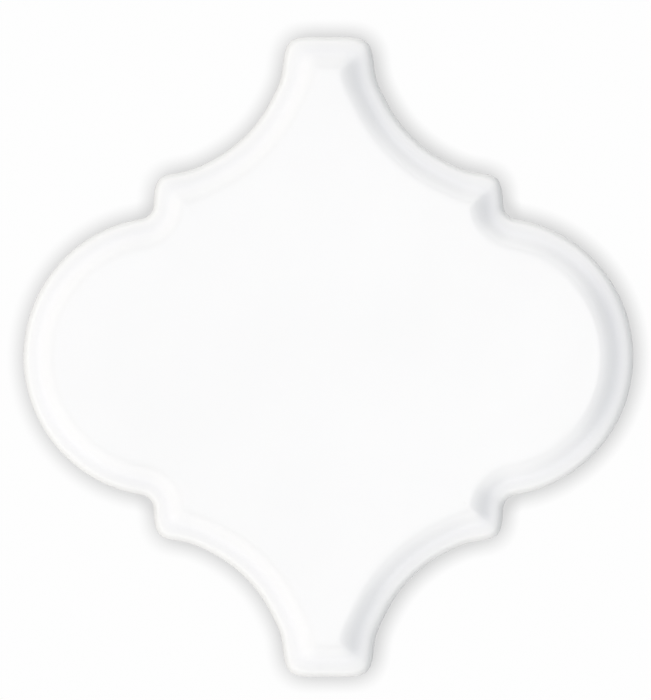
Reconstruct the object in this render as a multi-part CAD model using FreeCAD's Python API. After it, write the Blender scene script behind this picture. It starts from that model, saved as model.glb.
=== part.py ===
import FreeCAD, Part

import math
import os

# Arabesque wall tile, dry pressed, glazed and fired in one piece. Millimetres and degrees.
# It lies on its back. The origin is the middle of the back, +Z comes out of the glazed face
# and +Y points to one of the two necks.

# Outline
bulb_radius = 32.8           # round bulbs at the left and right
bulb_offset = 38.7           # middle of the tile to the centre of a bulb
neck_radius = 32.8           # hollow flanks of the necks
neck_width = 19.8            # flat end of a neck, before its corners are rounded
neck_corner_radius = 3.8     # corners of a neck's end
step_height = 9.4            # from the top of a bulb to the lowest point of a neck's flank
step_slant = 7.0             # lean of the step between ear and bulb
ear_radius = 2.8             # outer corner at the head of a step
step_radius = 3.6            # inner corner at the foot of a step

# Moulded border, from the wall in to the flat face
thickness = 9.0
edge_radius = 2.5            # rounded arris at the top of the wall
rim_width = 0.6              # plain slope inside the arris
cove_width = 1.8             # hollow part of the ogee
bevel_width = 1.0            # straight part, the steepest
shoulder_width = 2.7         # round part of the ogee
rim_slope = 10.0
bevel_slope = 33.0
run_out_slope = 2.0          # left where the shoulder meets the flat face
arris_slope = 80.0           # where the arris meets the wall

# Back
back_chamfer = 0.6           # along the lower edge of the wall
key_pitch = 12.0             # square pockets that key the back into the adhesive
key_rib = 3.0                # land between two pockets
key_depth = 0.8
key_draft = 20.0             # lean of a pocket's walls
key_border = 6.0             # plain land inside the outline

# A rounded corner takes no more than this share of the step that carries it.
round_share = 0.6
# How far a cutter runs past the surface that it leaves, and how close counts as level.
overshoot = 0.5
level = 0.001

V = FreeCAD.Vector
UP = V(0, 0, 1)
RIGHT = V(1, 0, 0)
MIDDLE = V(0, 0, 0)

half_width = bulb_offset + bulb_radius
half_height = bulb_radius + step_height + neck_radius
bulb_centre = V(bulb_offset, 0, 0)
neck_centre = V(neck_width / 2 + neck_radius, half_height, 0)


def sine(degrees):
    return math.sin(math.radians(degrees))


def cosine(degrees):
    return math.cos(math.radians(degrees))


def tangent(degrees):
    return math.tan(math.radians(degrees))


def crossing(point, direction, centre, radius, side):
    """Where a line meets a circle: side is -1 for the first meeting along it and 1 for the second."""
    along = (point - centre).dot(direction)
    away = (point - centre - direction * along).Length
    return point + direction * (side * math.sqrt(radius**2 - away**2) - along)


def towards(start, target, distance):
    return start + (target - start).normalize() * distance


def quarter_outline():
    """Runs of one quarter of the outline, clockwise from the neck's middle: start, end, arc centre."""
    ear = min(ear_radius, step_height * round_share)
    foot = min(step_radius, step_height * round_share)
    down = V(sine(step_slant), -cosine(step_slant), 0)
    outward = V(cosine(step_slant), sine(step_slant), 0)
    step = V((bulb_centre.x + neck_centre.x) / 2, bulb_radius + step_height / 2, 0)

    corner_line = V(0, half_height - neck_corner_radius, 0)
    corner_centre = crossing(corner_line, RIGHT, neck_centre, neck_radius + neck_corner_radius, -1)
    ear_centre = crossing(step - outward * ear, down, neck_centre, neck_radius + ear, 1)
    foot_centre = crossing(step + outward * foot, down, bulb_centre, bulb_radius + foot, -1)

    neck_middle = V(0, half_height, 0)
    neck_end = V(corner_centre.x, half_height, 0)
    flank_top = towards(corner_centre, neck_centre, neck_corner_radius)
    flank_foot = towards(ear_centre, neck_centre, ear)
    step_top = ear_centre + outward * ear
    step_foot = foot_centre - outward * foot
    bulb_top = towards(foot_centre, bulb_centre, foot)
    bulb_side = V(half_width, 0, 0)
    return [
        (neck_middle, neck_end, None),
        (neck_end, flank_top, corner_centre),
        (flank_top, flank_foot, neck_centre),
        (flank_foot, step_top, ear_centre),
        (step_top, step_foot, None),
        (step_foot, bulb_top, foot_centre),
        (bulb_top, bulb_side, bulb_centre),
    ]


def outline_edge(start, end, centre):
    if centre is None:
        return Part.LineSegment(start, end).toShape()
    spoke = ((start - centre) + (end - centre)).normalize() * (start - centre).Length
    return Part.Arc(start, centre + spoke, end).toShape()


def four_ways(shapes):
    """The shapes of one quarter and their mirror images in the other three."""
    half = shapes + [shape.mirror(MIDDLE, RIGHT) for shape in shapes]
    return half + [shape.mirror(MIDDLE, V(0, 1, 0)) for shape in half]


def bend(start, end, turn):
    """Arc of the section between two points that turns by an angle, negative where it is hollow."""
    chord = end - start
    bulge = V(-chord.z, 0, chord.x) * (tangent(turn / 4) / 2)
    return Part.Arc(start, start + chord * 0.5 + bulge, end).toShape()


def border_section():
    """What is cut away above the moulded border: X is the way in from the wall, Z is up."""
    shoulder_radius = shoulder_width / (sine(bevel_slope) - sine(run_out_slope))
    cove_radius = cove_width / (sine(bevel_slope) - sine(rim_slope))
    shoulder_drop = shoulder_radius * (cosine(run_out_slope) - cosine(bevel_slope))
    bevel_drop = bevel_width * tangent(bevel_slope)
    cove_drop = cove_radius * (cosine(rim_slope) - cosine(bevel_slope))
    edge_drop = edge_radius * (cosine(rim_slope) - cosine(arris_slope))
    edge_width = edge_radius * (sine(arris_slope) - sine(rim_slope))

    rim_x = edge_width
    cove_x = rim_x + rim_width
    bevel_x = cove_x + cove_width
    shoulder_x = bevel_x + bevel_width
    face_x = shoulder_x + shoulder_width
    shoulder_z = thickness - shoulder_drop
    bevel_z = shoulder_z - bevel_drop
    cove_z = bevel_z - cove_drop
    rim_z = cove_z - rim_width * tangent(rim_slope)
    wall_z = rim_z - edge_drop

    outside = V(-overshoot, 0, wall_z - overshoot * tangent(arris_slope))
    wall = V(0, 0, wall_z)
    rim = V(rim_x, 0, rim_z)
    cove = V(cove_x, 0, cove_z)
    bevel = V(bevel_x, 0, bevel_z)
    shoulder = V(shoulder_x, 0, shoulder_z)
    face = V(face_x, 0, thickness)
    inside = V(face_x + overshoot, 0, thickness + overshoot * tangent(run_out_slope))
    above_inside = V(inside.x, 0, thickness + overshoot)
    above_outside = V(outside.x, 0, thickness + overshoot)
    return Part.Face(Part.Wire([
        Part.LineSegment(outside, wall).toShape(),
        bend(wall, rim, arris_slope - rim_slope),
        Part.LineSegment(rim, cove).toShape(),
        bend(cove, bevel, rim_slope - bevel_slope),
        Part.LineSegment(bevel, shoulder).toShape(),
        bend(shoulder, face, bevel_slope - run_out_slope),
        Part.LineSegment(face, inside).toShape(),
        Part.LineSegment(inside, above_inside).toShape(),
        Part.LineSegment(above_inside, above_outside).toShape(),
        Part.LineSegment(above_outside, outside).toShape(),
    ]))


def placed(section, start, inward):
    """A copy of the section stood at a point of the outline, facing inward."""
    copy = section.copy()
    copy.rotate(MIDDLE, UP, math.degrees(math.atan2(inward.y, inward.x)))
    copy.translate(start)
    return copy


def border_cutter(section, start, end, centre):
    """The section carried along one run: drawn along a line, turned about the centre of an arc."""
    if centre is None:
        along = end - start
        return placed(section, start, V(along.y, -along.x, 0)).extrude(along)
    spoke = start - centre
    sweep = math.degrees(spoke.getAngle(end - centre))
    if spoke.cross(end - centre).z > 0:
        return placed(section, start, spoke).revolve(centre, UP, sweep)
    to_axis = Part.makeBox(spoke.Length + overshoot, overshoot, thickness + overshoot)
    to_axis.translate(V(-overshoot, -overshoot / 2, 0))
    reach = section.common(to_axis).Faces[0]
    return placed(reach, start, centre - start).revolve(centre, UP, -sweep)


def key_pocket(place):
    """A square pocket in the back whose walls lean in towards its floor."""
    mouth = (key_pitch - key_rib) / 2
    floor = mouth - key_depth * tangent(key_draft)
    pocket = Part.makeWedge(-mouth, 0, -mouth, -floor, -floor, mouth, key_depth, mouth, floor, floor)
    pocket.rotate(MIDDLE, RIGHT, 90)
    pocket.translate(place)
    return pocket


def key_pockets(back, outline):
    """Whole pockets on a square grid, with a rib crossing at the middle of the back."""
    count = math.ceil(max(half_width, half_height) / key_pitch)
    rows = [(row + 0.5) * key_pitch for row in range(-count, count)]
    places = [V(x, y, 0) for x in rows for y in rows]
    pockets = [key_pocket(place) for place in places if back.isInside(place, level, True)]
    return [pocket for pocket in pockets if pocket.distToShape(outline)[0] >= key_border]


runs = quarter_outline()
outline = Part.Wire(Part.sortEdges(four_ways([outline_edge(*run) for run in runs]))[0])
back = Part.Face(outline)
section = border_section()

tile = back.extrude(UP * thickness)
tile = tile.cut(four_ways([border_cutter(section, *run) for run in runs])).removeSplitter()
back_edges = [edge for edge in tile.Edges if edge.BoundBox.ZMax < level]
tile = tile.makeChamfer(back_chamfer, back_edges)
tile = tile.cut(key_pockets(back, outline)).Solids[0]

os.makedirs("parts", exist_ok=True)
tile.exportStep("parts/arabesque_tile.step")
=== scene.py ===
import math

import bmesh
import bpy
from mathutils import Matrix, Vector, kdtree
from mathutils.geometry import intersect_line_sphere_2d


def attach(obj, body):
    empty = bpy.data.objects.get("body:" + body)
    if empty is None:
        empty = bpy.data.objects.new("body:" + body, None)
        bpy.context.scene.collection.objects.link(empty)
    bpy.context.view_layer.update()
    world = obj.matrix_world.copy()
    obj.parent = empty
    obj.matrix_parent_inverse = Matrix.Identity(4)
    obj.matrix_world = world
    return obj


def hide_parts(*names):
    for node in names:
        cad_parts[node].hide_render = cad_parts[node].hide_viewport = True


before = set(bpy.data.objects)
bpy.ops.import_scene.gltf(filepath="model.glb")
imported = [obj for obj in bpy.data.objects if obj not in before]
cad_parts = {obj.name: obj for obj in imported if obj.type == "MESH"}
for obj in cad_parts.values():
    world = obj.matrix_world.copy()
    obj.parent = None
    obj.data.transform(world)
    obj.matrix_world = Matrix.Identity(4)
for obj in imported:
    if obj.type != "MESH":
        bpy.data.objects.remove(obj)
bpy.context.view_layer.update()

MM = 0.001

# Outline of the tile, in millimetres, and how far the smoothed outline keeps inside the solid's.
bulb_radius = 32.8
bulb_offset = 38.7
neck_radius = 32.8
neck_width = 19.8
neck_corner_radius = 3.8
step_height = 9.4
step_slant = math.radians(7)
ear_radius = 2.8
step_radius = 3.6
keep_inside = 0.05

# Moulded border from the foot of the wall in to the flat face: way in from the wall, and height.
thickness = 9.0
wall_foot = (0.0, 0.7)
wall_rings = [(0.0, 2.2), (0.0, 3.6)]
border_rings = [
    (0.0, 5.0),
    (0.51, 5.87),
    (1.29, 6.5),
    (2.05, 6.71),
    (2.96, 6.83),
    (3.84, 7.14),
    (4.67, 7.65),
    (5.23, 8.04),
    (6.36, 8.68),
    (7.31, 8.93),
    (8.21, 8.99),
    (9.23, 8.99),
]
foot_rings = [(0.16, 0.16), (0.7, 0.0)]

# Keyed back.
key_pitch = 12.0
key_rib = 3.0
key_depth = 0.8
key_draft = math.radians(20)
key_border = 6.0
key_softness = 0.22

# Control net of a quarter: steps along its round runs, and how far along the flank its points keep from
# the neck's corner and from the ear. Smoothing makes each face of the net 4 by 4.
flank_steps = 6
foot_steps = 4
bulb_steps = 10
corner_clear = 8.0
ear_clear = 6.2
smoothing_levels = 2


def turned(bm, vertex, centre, angle, steps):
    """Carries a vertex round a centre and returns the last vertex that this makes."""
    spun = bmesh.ops.spin(
        bm, geom=[vertex], cent=centre.to_3d() * MM, axis=(0, 0, 1), angle=angle, steps=steps
    )
    return spun["geom_last"][0]


def angle_between(start, end, centre):
    """The signed turn from one point to another about a centre."""
    return (end - centre).angle_signed(start - centre)


def meeting(point, direction, centre, radius, pick):
    """Where a line meets a circle: pick is min for the lower meeting and max for the upper one."""
    both = intersect_line_sphere_2d(point, point + direction, centre, radius, False)
    return pick(both, key=lambda place: place.y)


def towards(start, way, distance):
    return start + way.normalized() * distance


def on_from(bm, vertex, place):
    """Draws an edge on from a vertex to a place and returns the vertex there."""
    grown = bmesh.ops.extrude_vert_indiv(bm, verts=[vertex])["verts"][0]
    bmesh.ops.translate(bm, verts=[grown], vec=place.to_3d() * MM - vertex.co)
    return grown


def drawn_through(bm):
    """Stands the points of a ring off, so that its smoothed curve runs through where they were.

    A point between a long edge and a short one stays, because standing it off would fold the ring.
    """
    rounds = 12
    places = {}
    for vertex in bm.verts:
        lengths = [edge.calc_length() for edge in vertex.link_edges]
        if max(lengths) < 2 * min(lengths):
            places[vertex] = vertex.co.copy()
    for _ in range(rounds):
        for vertex, place in places.items():
            before, after = [edge.other_vert(vertex).co for edge in vertex.link_edges]
            vertex.co = (place * 6 - before - after) / 4


def outline_net():
    """The outline of the tile as a coarse ring of edges, one quarter drawn and mirrored twice.

    The ears and the neck's corners are single points. The points beside them stay clear of where
    the border's mitres run, so that the border can be set in from the outline without a fold.
    """
    half_height = bulb_radius + step_height + neck_radius
    bulb_centre = Vector((bulb_offset, 0))
    neck_centre = Vector((neck_width / 2 + neck_radius, half_height))
    up = Vector((0, 1))
    across = Vector((1, 0))
    down = Vector((math.sin(step_slant), -math.cos(step_slant)))
    outward = Vector((math.cos(step_slant), math.sin(step_slant)))
    step = Vector(((bulb_centre.x + neck_centre.x) / 2, bulb_radius + step_height / 2))

    corner_reach = math.sqrt((neck_radius + neck_corner_radius) ** 2 - neck_corner_radius**2)
    corner_centre = neck_centre - Vector((corner_reach, neck_corner_radius))
    corner = towards(corner_centre, (neck_centre - corner_centre).normalized() + up, neck_corner_radius)
    ear_centre = meeting(step - outward * ear_radius, down, neck_centre, neck_radius + ear_radius, min)
    ear = towards(ear_centre, (neck_centre - ear_centre).normalized() + outward, ear_radius)
    ear_tip = meeting(step, down, neck_centre, neck_radius, min)
    foot_centre = meeting(step + outward * step_radius, down, bulb_centre, bulb_radius + step_radius, max)
    step_foot = foot_centre - outward * step_radius
    bulb_top = towards(bulb_centre, foot_centre - bulb_centre, bulb_radius)
    bulb_side = towards(bulb_centre, across, bulb_radius)

    bm = bmesh.new()
    middle = bm.verts.new((0, half_height * MM, 0))
    last = on_from(bm, middle, corner)
    flank = angle_between(neck_centre - across * neck_radius, ear_tip, neck_centre)
    corner_turn = corner_clear / neck_radius
    ear_turn = ear_clear / neck_radius
    flank_top = neck_centre + Matrix.Rotation(corner_turn, 2) @ (-across * neck_radius)
    last = on_from(bm, last, flank_top)
    last = turned(bm, last, neck_centre, flank - corner_turn - ear_turn, flank_steps)
    last = on_from(bm, last, ear)
    last = on_from(bm, last, step_foot)
    last = turned(bm, last, foot_centre, angle_between(step_foot, bulb_top, foot_centre), foot_steps)
    turned(bm, last, bulb_centre, angle_between(bulb_top, bulb_side, bulb_centre), bulb_steps)
    for axis in ("X", "Y"):
        everything = bm.verts[:] + bm.edges[:]
        bmesh.ops.mirror(bm, geom=everything, matrix=Matrix(), merge_dist=0.01 * MM, axis=axis)
    drawn_through(bm)
    share = 1 - keep_inside / half_height
    bmesh.ops.scale(bm, vec=(share, share, 1), verts=bm.verts[:])
    return bm


def set_in(bm, face, rings, start):
    """Sets a face in again and again, and lifts it, so that the bands round it follow a list of rings."""
    for ring in rings:
        bmesh.ops.inset_region(
            bm, faces=[face], thickness=(ring[0] - start[0]) * MM,
            use_boundary=True, use_even_offset=True, use_interpolate=False,
        )
        bmesh.ops.translate(bm, verts=face.verts[:], vec=(0, 0, (ring[1] - start[1]) * MM))
        start = ring


def shell_net():
    """Control net of the wall and the border: open at the flat face and at the back."""
    bm = outline_net()
    bmesh.ops.translate(bm, verts=bm.verts[:], vec=(0, 0, wall_foot[1] * MM))
    filled = bmesh.ops.contextual_create(bm, geom=bm.edges[:])["faces"]
    face = filled[0]
    if face.normal.z < 0:
        face.normal_flip()
    start = wall_foot
    back = face
    for ring in wall_rings + border_rings[:1]:
        grown = bmesh.ops.extrude_face_region(bm, geom=[face], use_keep_orig=face is back)["geom"]
        risen = [item for item in grown if isinstance(item, bmesh.types.BMVert)]
        bmesh.ops.translate(bm, verts=risen, vec=(0, 0, (ring[1] - start[1]) * MM))
        face = next(item for item in grown if isinstance(item, bmesh.types.BMFace))
        start = ring
    back.normal_flip()
    set_in(bm, face, border_rings[1:], border_rings[0])
    set_in(bm, back, foot_rings, wall_foot)
    bmesh.ops.delete(bm, geom=[face, back], context="FACES_ONLY")
    bmesh.ops.recalc_face_normals(bm, faces=bm.faces[:])
    return bm


def smoothed(bm):
    """The subdivision surface of a control net, as a new bmesh."""
    net = bpy.data.meshes.new("net")
    bm.to_mesh(net)
    bm.free()
    holder = bpy.data.objects.new("net", net)
    bpy.context.collection.objects.link(holder)
    finish = holder.modifiers.new("smoothing", "SUBSURF")
    finish.levels = smoothing_levels
    finish.render_levels = smoothing_levels
    graph = bpy.context.evaluated_depsgraph_get()
    surface = bpy.data.meshes.new_from_object(holder.evaluated_get(graph))
    smooth = bmesh.new()
    smooth.from_mesh(surface)
    bpy.data.objects.remove(holder)
    bpy.data.meshes.remove(net)
    bpy.data.meshes.remove(surface)
    return smooth


def key_the_back(bm, back):
    """Square pockets pressed into the back, on a grid that leaves a plain border."""
    rim = [vertex.co.copy() for vertex in back.verts]
    edge_points = kdtree.KDTree(len(rim))
    for index, point in enumerate(rim):
        edge_points.insert(point, index)
    edge_points.balance()

    cells = [back]
    reach = max(abs(value) for point in rim for value in point) / MM
    lines = [rib * key_pitch + side * key_rib / 2
             for rib in range(-int(reach / key_pitch), int(reach / key_pitch) + 1) for side in (-1, 1)]
    for normal in (Vector((1, 0, 0)), Vector((0, 1, 0))):
        for line in lines:
            around = dict.fromkeys(cells)
            for cell in cells:
                around.update(dict.fromkeys(cell.edges[:] + cell.verts[:]))
            cut = bmesh.ops.bisect_plane(
                bm, geom=list(around), dist=0.0001 * MM, plane_co=normal * line * MM, plane_no=normal
            )
            cells = [item for item in cut["geom"] if isinstance(item, bmesh.types.BMFace)]

    mouth = key_pitch - key_rib
    clear = (key_border - foot_rings[-1][0]) * MM
    whole = [cell for cell in cells
             if len(cell.verts) == 4
             and abs(cell.calc_area() - (mouth * MM) ** 2) < (0.1 * MM) ** 2
             and min(edge_points.find(vertex.co)[2] for vertex in cell.verts) > clear]
    lean = key_depth * math.tan(key_draft)
    walls = bmesh.ops.inset_individual(
        bm, faces=whole, thickness=lean * MM, depth=-key_depth * MM, use_even_offset=True
    )["faces"]
    corners = dict.fromkeys(edge for wall in walls for edge in wall.edges)
    bmesh.ops.bevel(
        bm, geom=list(corners), offset=key_softness * MM, offset_type="OFFSET", affect="EDGES",
        segments=2, profile=0.5, material=-1, clamp_overlap=True,
    )


def tile_piece():
    """The tile: smooth moulded border and wall, flat face, keyed back."""
    sharp_angle = math.radians(40)
    bm = smoothed(shell_net())
    rims = [edge for edge in bm.edges if edge.is_boundary]
    caps = bmesh.ops.holes_fill(bm, edges=rims, sides=0)["faces"]
    bmesh.ops.recalc_face_normals(bm, faces=bm.faces[:])
    back = min(caps, key=lambda cap: cap.calc_center_median().z)
    key_the_back(bm, back)
    mesh = bpy.data.meshes.new("arabesque_tile_glazed")
    bm.to_mesh(mesh)
    bm.free()
    mesh.shade_smooth()
    mesh.set_sharp_from_angle(angle=sharp_angle)
    piece = bpy.data.objects.new("arabesque_tile_glazed", mesh)
    bpy.context.collection.objects.link(piece)
    return piece


def colour(hex_value):
    """An sRGB hex value as linear red, green, blue and alpha."""
    parts = [int(hex_value[i:i + 2], 16) / 255 for i in (0, 2, 4)]
    return [part / 12.92 if part <= 0.04045 else ((part + 0.055) / 1.055) ** 2.4 for part in parts] + [1]


def add(tree, kind, settings=None, **links):
    """Adds a node with its settings. A link names a socket, or numbers it as in i2, and feeds it."""
    made = tree.nodes.new(kind)
    for name, value in (settings or {}).items():
        setattr(made, name, value)
    for name, value in links.items():
        socket = made.inputs[int(name[1:])] if name[1:].isdigit() else made.inputs[name.replace("_", " ")]
        if isinstance(value, bpy.types.NodeSocket):
            tree.links.new(value, socket)
        else:
            socket.default_value = value
    return made


def new_material(name):
    made = bpy.data.materials.new(name)
    made.use_nodes = True
    made.node_tree.nodes.clear()
    return made, made.node_tree


def white_glazed_earthenware():
    """Opaque gloss white glaze, fired on a dry-pressed earthenware body that stays bare on the back."""
    material, tree = new_material("white_glazed_earthenware")
    place = add(tree, "ShaderNodeTexCoord").outputs["Object"]
    height = add(tree, "ShaderNodeSeparateXYZ", Vector=place).outputs["Z"]

    # The glaze stops low on the wall in a line that wavers. Below it the wall is matt and biscuit-coloured.
    waver = add(tree, "ShaderNodeTexNoise", Vector=place, Scale=1 / (9 * MM), Detail=3.0)
    line = add(
        tree, "ShaderNodeMath", {"operation": "MULTIPLY_ADD"},
        i0=waver.outputs["Fac"], i1=2.4 * MM, i2=height,
    )
    above = add(tree, "ShaderNodeMapRange", i0=line.outputs[0], i1=2.0 * MM, i2=2.2 * MM)
    # What faces down, the back and its pockets, stood on the kiln shelf and has none.
    facing = add(tree, "ShaderNodeSeparateXYZ", Vector=add(tree, "ShaderNodeNewGeometry").outputs["Normal"])
    outside = add(tree, "ShaderNodeMapRange", i0=facing.outputs["Z"], i1=-0.25, i2=-0.15)
    glazed = add(
        tree, "ShaderNodeMath", {"operation": "MULTIPLY"}, i0=above.outputs[0], i1=outside.outputs[0]
    ).outputs[0]

    # Melted glaze draws off the arris and gathers in the cove, a trace cooler there. The white greys over
    # the arris and down the wall,
    # darkest from half the thickness down: partly the body showing through thin glaze, partly painted
    # shade.
    share = add(tree, "ShaderNodeMath", {"operation": "DIVIDE"}, i0=height, i1=thickness * MM)
    depth = add(tree, "ShaderNodeValToRGB", Fac=share.outputs[0])
    # The greyer whites low on the wall and over the arris are painted shade in part.
    whites_with_painted_shade = [
        (0.5, "E5E4E2"), (0.6, "E9E8E6"), (0.66, "F0EFED"),
        (0.71, "F6F5F3"), (0.77, "F6F5F5"), (0.92, "F6F5F4"),
    ]
    for position, _ in whites_with_painted_shade[2:]:
        depth.color_ramp.elements.new(position)
    for stop, (position, hex_value) in zip(depth.color_ramp.elements, whites_with_painted_shade):
        stop.position = position
        stop.color = colour(hex_value)

    # Broad soft clouds in the white, as the glaze was poured.
    cloud = add(tree, "ShaderNodeTexNoise", Vector=place, Scale=1 / (30 * MM), Detail=2.0)
    pour = add(
        tree, "ShaderNodeMix", {"data_type": "RGBA"},
        i0=cloud.outputs["Fac"], i6=colour("FAFAFA"), i7=colour("FFFFFF"),
    )
    white = add(
        tree, "ShaderNodeMix", {"data_type": "RGBA", "blend_type": "MULTIPLY"},
        i0=1.0, i6=depth.outputs["Color"], i7=pour.outputs[2],
    )

    # Fired clay: fine grain, drawn at about twice its real size so that it still shows.
    grain = add(tree, "ShaderNodeTexNoise", Vector=place, Scale=1 / (0.8 * MM), Detail=3.0)
    patch = add(tree, "ShaderNodeTexNoise", Vector=place, Scale=1 / (18 * MM), Detail=4.0)
    clay = add(
        tree, "ShaderNodeMix", {"data_type": "RGBA"},
        i0=grain.outputs["Fac"], i6=colour("D9CDBB"), i7=colour("EEE6D8"),
    )
    # The ribs that stood on the kiln shelf keep a pale powdery film of its wash, rubbed off in patches.
    low = add(tree, "ShaderNodeMapRange", i0=height, i1=0.0, i2=0.25 * MM, i3=1.0, i4=0.0)
    film = add(tree, "ShaderNodeMapRange", i0=patch.outputs["Fac"], i1=0.4, i2=0.6, i3=0.1, i4=0.75)
    dusty = add(tree, "ShaderNodeMath", {"operation": "MULTIPLY"}, i0=low.outputs[0], i1=film.outputs[0])
    body = add(
        tree, "ShaderNodeMix", {"data_type": "RGBA"},
        i0=dusty.outputs[0], i6=clay.outputs[2], i7=colour("F2EFE9"),
    )
    tone = add(
        tree, "ShaderNodeMix", {"data_type": "RGBA"}, i0=glazed, i6=body.outputs[2], i7=white.outputs[2]
    )

    # The glaze is glossy with slightly duller clouds, the clay is matt.
    sheen = add(tree, "ShaderNodeTexNoise", Vector=place, Scale=1 / (7 * MM), Detail=2.0)
    gloss = add(tree, "ShaderNodeMapRange", i0=sheen.outputs["Fac"], i1=0.3, i2=0.7, i3=0.09, i4=0.15)
    roughness = add(tree, "ShaderNodeMix", i0=glazed, i2=0.85, i3=gloss.outputs[0])

    # The glaze has a faint orange peel, drawn at 4 mm, which breaks the reflections up. The clay is grainy.
    peel = add(tree, "ShaderNodeTexNoise", Vector=place, Scale=1 / (4 * MM), Detail=1.0)
    ripple = add(tree, "ShaderNodeMath", {"operation": "MULTIPLY"}, i0=peel.outputs["Fac"], i1=0.004 * MM)
    crumb = add(tree, "ShaderNodeMath", {"operation": "MULTIPLY"}, i0=grain.outputs["Fac"], i1=0.06 * MM)
    relief = add(tree, "ShaderNodeMix", i0=glazed, i2=crumb.outputs[0], i3=ripple.outputs[0])
    bump = add(tree, "ShaderNodeBump", Strength=1.0, Distance=1.0, Height=relief.outputs[0])
    skin = add(
        tree, "ShaderNodeBsdfPrincipled", Base_Color=tone.outputs[2], Roughness=roughness.outputs[0],
        IOR=1.52, Normal=bump.outputs["Normal"],
    )
    add(tree, "ShaderNodeOutputMaterial", Surface=skin.outputs[0])
    return material


def pale_floor():
    """Matt white paper: seen at its own white, greyer only close to the tile, where less light reaches it.

    It is see-through from below, so that the back of the tile can be looked at.
    """
    material, tree = new_material("pale_floor")
    # The shade is a little deeper on the right of the tile than on its left.
    leaning = add(tree, "ShaderNodeCombineXYZ", X=-0.12, Z=1.0)
    reach = add(
        tree, "ShaderNodeAmbientOcclusion", {"samples": 16}, Distance=4.5 * MM, Normal=leaning.outputs[0]
    )
    tone = add(tree, "ShaderNodeMapRange", i0=reach.outputs["AO"], i1=0.5, i2=1.0, i3=0.69, i4=0.99)
    seen = add(tree, "ShaderNodeEmission", Color=tone.outputs[0])
    # Close under the tile the paper glows, so that the back is lit when it is looked at from below.
    path = add(tree, "ShaderNodeLightPath")
    glow = add(
        tree, "ShaderNodeMapRange", i0=path.outputs["Ray Length"], i1=1.5 * MM, i2=3 * MM, i3=0.95, i4=0.26
    )
    bounce = add(tree, "ShaderNodeEmission", Color=colour("FFFFFF"), Strength=glow.outputs[0])
    direct = add(
        tree, "ShaderNodeMath", {"operation": "MAXIMUM"},
        i0=path.outputs["Is Camera Ray"], i1=path.outputs["Is Glossy Ray"],
    )
    paper = add(tree, "ShaderNodeMixShader", i0=direct.outputs[0], i1=bounce.outputs[0], i2=seen.outputs[0])
    below = add(tree, "ShaderNodeNewGeometry").outputs["Backfacing"]
    clear = add(tree, "ShaderNodeBsdfTransparent")
    both = add(tree, "ShaderNodeMixShader", i0=below, i1=paper.outputs[0], i2=clear.outputs[0])
    add(tree, "ShaderNodeOutputMaterial", Surface=both.outputs[0])
    return material


def floor_stage():
    """A wide floor, a hair below the back of the tile."""
    half_side = 3.0
    below = Matrix.Translation((0, 0, -0.1 * MM))
    bm = bmesh.new()
    bmesh.ops.create_grid(bm, x_segments=1, y_segments=1, size=half_side, matrix=below)
    mesh = bpy.data.meshes.new("floor")
    bm.to_mesh(mesh)
    bm.free()
    floor = bpy.data.objects.new("floor", mesh)
    floor.data.materials.append(pale_floor())
    bpy.context.collection.objects.link(floor)


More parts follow.
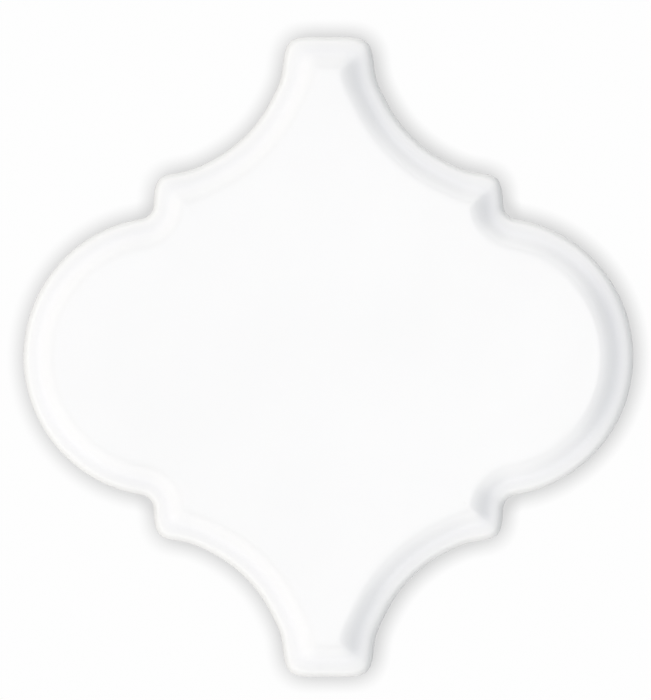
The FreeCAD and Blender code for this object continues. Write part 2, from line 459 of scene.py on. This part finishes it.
def studio():
    """A light tent of white cloth with a lamp overhead and a dim blue opening on the right."""
    world = bpy.data.worlds.new("studio")
    bpy.context.scene.world = world
    world.use_nodes = True
    tree = world.node_tree
    tree.nodes.clear()
    soft = {"interpolation_type": "SMOOTHSTEP"}
    way = add(tree, "ShaderNodeTexCoord").outputs["Generated"]
    up = add(tree, "ShaderNodeSeparateXYZ", Vector=way).outputs["Z"]
    path = add(tree, "ShaderNodeLightPath")
    shiny = path.outputs["Is Glossy Ray"]

    # The cloth is brighter on the right than on the left, and at its foot than at its top.
    side = add(tree, "ShaderNodeVectorMath", {"operation": "DOT_PRODUCT"}, i0=way, i1=(0.99, -0.1, 0))
    across = add(tree, "ShaderNodeMapRange", i0=side.outputs["Value"], i1=-1.0, i2=1.0, i3=0.59, i4=1.02)
    upward = add(tree, "ShaderNodeMapRange", i0=up, i1=0.0, i2=1.0, i3=3.0, i4=1.0)
    cloth = add(
        tree, "ShaderNodeMath", {"operation": "MULTIPLY"}, i0=across.outputs[0], i1=upward.outputs[0]
    )
    lamp = add(tree, "ShaderNodeMath", {"operation": "POWER"}, i0=up, i1=20.0)
    lit = add(
        tree, "ShaderNodeMath", {"operation": "MULTIPLY_ADD"},
        i0=lamp.outputs[0], i1=1.74, i2=cloth.outputs[0],
    )

    # The opening is a sector about the right, from close to the top of the tent down to the floor.
    # Reflections find it narrower.
    level = add(tree, "ShaderNodeVectorMath", {"operation": "MULTIPLY"}, i0=way, i1=(1, 1, 0))
    out = add(tree, "ShaderNodeVectorMath", {"operation": "LENGTH"}, i0=level.outputs[0]).outputs["Value"]
    bearing = add(tree, "ShaderNodeVectorMath", {"operation": "NORMALIZE"}, i0=level.outputs[0])
    right = add(tree, "ShaderNodeSeparateXYZ", Vector=bearing.outputs[0]).outputs["X"]
    edge = add(tree, "ShaderNodeMix", i0=shiny, i2=0.68, i3=0.72).outputs[0]
    full = add(tree, "ShaderNodeMix", i0=shiny, i2=0.88, i3=0.94).outputs[0]
    sector = add(tree, "ShaderNodeMapRange", soft, i0=right, i1=edge, i2=full)
    head = add(tree, "ShaderNodeMapRange", soft, i0=out, i1=0.09, i2=0.18)
    opening = add(
        tree, "ShaderNodeMath", {"operation": "MULTIPLY"}, i0=sector.outputs[0], i1=head.outputs[0]
    )

    # Reflections also find the cloth brighter beside the opening, where it is folded back. They are held
    # under a limit that falls towards the floor, so that the face burns out from no side.
    fold = add(tree, "ShaderNodeMapRange", soft, i0=right, i1=0.0, i2=0.45, i3=0.0, i4=1.3)
    low = add(tree, "ShaderNodeMapRange", soft, i0=out, i1=0.5, i2=0.8)
    bright = add(
        tree, "ShaderNodeMath", {"operation": "MULTIPLY_ADD"},
        i0=fold.outputs[0], i1=low.outputs[0], i2=1.0,
    )
    shine = add(
        tree, "ShaderNodeMath", {"operation": "MULTIPLY"}, i0=lit.outputs[0], i1=bright.outputs[0]
    )
    limit = add(tree, "ShaderNodeMapRange", i0=up, i1=0.0, i2=1.0, i3=0.3, i4=2.6)
    held = add(tree, "ShaderNodeMath", {"operation": "MINIMUM"}, i0=shine.outputs[0], i1=limit.outputs[0])
    tone = add(tree, "ShaderNodeMix", i0=shiny, i2=lit.outputs[0], i3=held.outputs[0])
    tent = add(
        tree, "ShaderNodeMix", {"data_type": "RGBA"},
        i0=opening.outputs[0], i6=tone.outputs[0], i7=colour("004060"),
    )

    light = add(tree, "ShaderNodeBackground", Color=tent.outputs[2], Strength=0.891)
    seen = add(tree, "ShaderNodeBackground", Color=colour("FFFFFF"), Strength=1.0)
    both = add(
        tree, "ShaderNodeMixShader",
        i0=path.outputs["Is Camera Ray"], i1=light.outputs[0], i2=seen.outputs[0],
    )
    add(tree, "ShaderNodeOutputWorld", Surface=both.outputs[0])


def camera():
    """Straight above the tile, with the long side of the picture along Y."""
    distance = 1200 * MM
    border_level = 7 * MM
    picture_height = 163.52 * MM
    middle = Vector((-0.65, 1.6, 0)) * MM
    lens = bpy.data.cameras.new("camera")
    lens.sensor_width = 36
    lens.lens = lens.sensor_width * distance / picture_height
    holder = bpy.data.objects.new("camera", lens)
    holder.location = middle + Vector((0, 0, distance + border_level))
    bpy.context.collection.objects.link(holder)
    bpy.context.scene.camera = holder


tile = tile_piece()
tile.data.materials.append(white_glazed_earthenware())
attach(tile, "root")
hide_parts("arabesque_tile")
floor_stage()
studio()
camera()
bpy.context.scene.view_settings.view_transform = "Standard"
